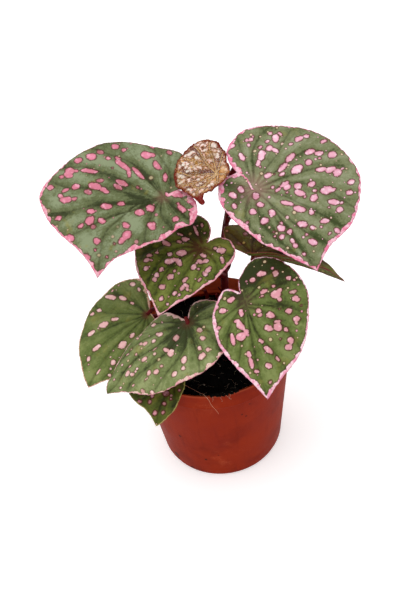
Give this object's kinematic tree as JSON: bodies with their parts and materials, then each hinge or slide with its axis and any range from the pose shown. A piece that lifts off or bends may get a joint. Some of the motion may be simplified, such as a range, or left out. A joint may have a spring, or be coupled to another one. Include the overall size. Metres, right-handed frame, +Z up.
{
  "type": "potted begonia",
  "caption": "Round tapered plastic pot of soil with an upright stem and pleated, pink-spotted heart-shaped leaves on dark petioles.",
  "frame": {"origin": "centre of the pot's base, on the surface it stands on", "axes": "+Z up, -Y towards the viewer, so the big spotted leaves lie to the upper left (-X) and the upper right (+X)"},
  "size_m": [0.2222, 0.1798, 0.2226],
  "materials": {
    "pot_plastic": "matte terracotta-coloured plastic",
    "potting_soil": "black potting soil, crumbly and dull",
    "stem_maroon": "dark maroon, soft and slightly hairy",
    "blade_upper_left": "matte leaf with a faint sheen",
    "blade_upper_right": "matte leaf with a faint sheen",
    "blade_young": "matte leaf with a faint sheen",
    "blade_centre": "matte leaf with a faint sheen",
    "blade_front_right": "matte leaf with a faint sheen",
    "blade_lower_left": "matte leaf with a faint sheen",
    "blade_front_left": "matte leaf with a faint sheen",
    "blade_rim": "matte leaf with a faint sheen",
    "blade_behind_right": "matte leaf with a faint sheen"
  },
  "bodies": {
    "root": {"pot": "pot_plastic", "soil": "potting_soil", "stem": "stem_maroon", "petiole_upper_left": "stem_maroon", "leaf_upper_left": "blade_upper_left", "petiole_upper_right": "stem_maroon", "leaf_upper_right": "blade_upper_right", "petiole_young": "stem_maroon", "leaf_young": "blade_young", "petiole_centre": "stem_maroon", "leaf_centre": "blade_centre", "petiole_front_right": "stem_maroon", "leaf_front_right": "blade_front_right", "petiole_lower_left": "stem_maroon", "leaf_lower_left": "blade_lower_left", "petiole_front_left": "stem_maroon", "leaf_front_left": "blade_front_left", "petiole_rim": "stem_maroon", "leaf_rim": "blade_rim", "petiole_behind_right": "stem_maroon", "leaf_behind_right": "blade_behind_right"}
  },
  "joints": []
}
